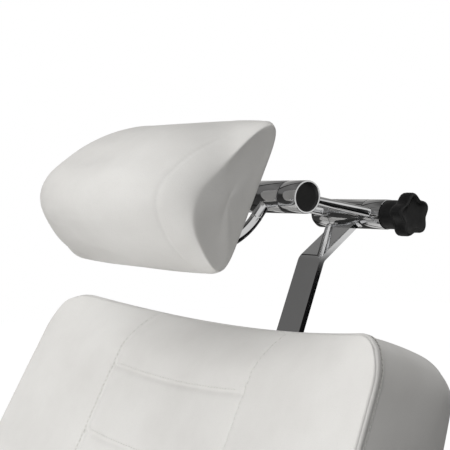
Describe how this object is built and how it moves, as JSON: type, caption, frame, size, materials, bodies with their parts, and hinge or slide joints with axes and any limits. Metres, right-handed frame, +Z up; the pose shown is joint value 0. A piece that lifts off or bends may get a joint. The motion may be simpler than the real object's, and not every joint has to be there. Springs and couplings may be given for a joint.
{
  "type": "dental chair",
  "caption": "Upholstered treatment chair on a telescopic lifting column, with a reclining back, leg rest, swing-up arms and a headrest on a sliding flat bar with tube friction hinges.",
  "frame": {"origin": "on the floor, on the axis of the lifting column", "axes": "+Z up; the sitter faces -Y; +X is the sitter's left, the side of the headrest's star knob"},
  "size_m": [0.758, 1.3357, 1.4387],
  "materials": {
    "upholstery": "fine-grained off-white upholstery vinyl, satin",
    "chrome": "bright chrome plate",
    "steel": "turned and ground steel",
    "grey_paint": "satin grey powder coat",
    "dark_paint": "matt black drive housings",
    "white_shell": "moulded white covers, satin",
    "black_plastic": "moulded black plastic, matt",
    "nylon": "natural nylon",
    "plywood": "birch plywood, uncoated"
  },
  "bodies": {
    "base": {"base_plate": "grey_paint", "base_cover": "white_shell", "levelling_feet": "steel", "column_outer": "grey_paint", "column_bolts": "steel", "lower_glides": "nylon", "lift_drive": "dark_paint", "lower_shroud": "white_shell", "power_box": "dark_paint", "pedal_housing": "grey_paint"},
    "pedal_left_rocker": {"pedal_left": "black_plastic"},
    "pedal_right_rocker": {"pedal_right": "black_plastic"},
    "middle_stage": {"column_middle": "steel", "upper_glides": "nylon", "middle_shroud": "white_shell"},
    "inner_stage": {"column_inner": "steel", "lift_rod": "steel", "upper_shroud": "white_shell", "swivel_bearing": "nylon"},
    "swivel_brake": {"swivel_lever": "steel"},
    "seat": {"swivel_plate": "grey_paint", "seat_frame": "grey_paint", "seat_board": "plywood", "seat_cushion": "upholstery", "hinge_pins": "steel", "arm_posts": "chrome", "back_drive": "dark_paint", "leg_drive": "dark_paint"},
    "back_push_rod": {"back_rod": "steel"},
    "leg_push_rod": {"leg_rod": "steel"},
    "left_arm": {"arm_left": "chrome", "arm_pad_left": "upholstery"},
    "right_arm": {"arm_right": "chrome", "arm_pad_right": "upholstery"},
    "back": {"back_frame": "grey_paint", "back_bushes": "nylon", "back_board": "plywood", "back_cushion": "upholstery", "back_shell": "white_shell"},
    "bar_clamp": {"bar_screw": "steel", "bar_knob": "black_plastic"},
    "sliding_bar": {"headrest_bar": "chrome", "rear_sleeve": "steel"},
    "hinge_clamp": {"clamp_stud": "steel", "star_knob": "black_plastic"},
    "hinge_link": {"link_left": "chrome", "link_right": "chrome", "clamp_nut": "steel", "front_bolt": "steel", "friction_washers": "steel", "tube_plugs": "black_plastic"},
    "headrest": {"headrest_arm": "chrome", "front_sleeve": "steel", "headrest_board": "black_plastic", "headrest_cushion": "upholstery"},
    "leg_rest": {"leg_frame": "grey_paint", "leg_board": "plywood", "leg_cushion": "upholstery"}
  },
  "joints": [
    {"name": "lift_lower", "type": "slide", "parent": "base", "child": "middle_stage", "axis": [0, 0, 1], "range_m": [0, 0.11]},
    {"name": "lift_upper", "type": "slide", "parent": "middle_stage", "child": "inner_stage", "axis": [0, 0, 1], "range_m": [0, 0.11]},
    {"name": "swivel", "type": "hinge", "parent": "inner_stage", "child": "seat", "pos_m": [0, 0, 0.383], "axis": [0, 0, 1], "range_deg": [-30, 30]},
    {"name": "swivel_brake_turn", "type": "hinge", "parent": "seat", "child": "swivel_brake", "pos_m": [0.088, 0, 0.39], "axis": [0, 0, 1], "range_deg": [-20, 20]},
    {"name": "back_recline", "type": "hinge", "parent": "seat", "child": "back", "pos_m": [0, 0.165, 0.5], "axis": [-1, 0, 0], "range_deg": [-5, 70]},
    {"name": "back_push", "type": "slide", "parent": "seat", "child": "back_push_rod", "axis": [0, -1, 0], "range_m": [-0.0075, 0.0995]},
    {"name": "leg_lift", "type": "hinge", "parent": "seat", "child": "leg_rest", "pos_m": [0, -0.285, 0.48], "axis": [-1, 0, 0], "range_deg": [-25, 35]},
    {"name": "leg_push", "type": "slide", "parent": "seat", "child": "leg_push_rod", "axis": [0, -1, 0], "range_m": [-0.026, 0.036]},
    {"name": "left_arm_swing", "type": "hinge", "parent": "seat", "child": "left_arm", "pos_m": [0.344, 0.12, 0.73], "axis": [-1, 0, 0], "range_deg": [0, 90]},
    {"name": "right_arm_swing", "type": "hinge", "parent": "seat", "child": "right_arm", "pos_m": [-0.344, 0.12, 0.73], "axis": [-1, 0, 0], "range_deg": [0, 90]},
    {"name": "headrest_height", "type": "slide", "parent": "back", "child": "sliding_bar", "axis": [0, 0.3173, 0.9483], "range_m": [-0.02, 0.1]},
    {"name": "bar_clamp_turn", "type": "hinge", "parent": "back", "child": "bar_clamp", "pos_m": [0, 0.48757, 1.06695], "axis": [0, 0.9483, -0.3173], "range_deg": [-90, 90]},
    {"name": "headrest_swing", "type": "hinge", "parent": "sliding_bar", "child": "hinge_link", "pos_m": [0, 0.59238, 1.33135], "axis": [-1, 0, 0], "range_deg": [-5, 60]},
    {"name": "hinge_clamp_turn", "type": "hinge", "parent": "hinge_link", "child": "hinge_clamp", "pos_m": [0.07, 0.59238, 1.33135], "axis": [1, 0, 0], "range_deg": [-90, 90]},
    {"name": "headrest_tilt", "type": "hinge", "parent": "hinge_link", "child": "headrest", "pos_m": [0, 0.4545, 1.35566], "axis": [-1, 0, 0], "range_deg": [-8, 60]},
    {"name": "pedal_left_rock", "type": "hinge", "parent": "base", "child": "pedal_left_rocker", "pos_m": [0.057, -0.31, 0.048], "axis": [1, 0, 0], "range_deg": [-6, 6]},
    {"name": "pedal_right_rock", "type": "hinge", "parent": "base", "child": "pedal_right_rocker", "pos_m": [-0.057, -0.31, 0.048], "axis": [1, 0, 0], "range_deg": [-6, 6]}
  ],
  "couplings": [
    {"joint": "lift_lower", "follows": "lift_upper", "ratio": 1},
    {"joint": "back_push", "follows": "back_recline", "m_per_rad": 0.080515},
    {"joint": "leg_push", "follows": "leg_lift", "m_per_rad": 0.05797}
  ]
}
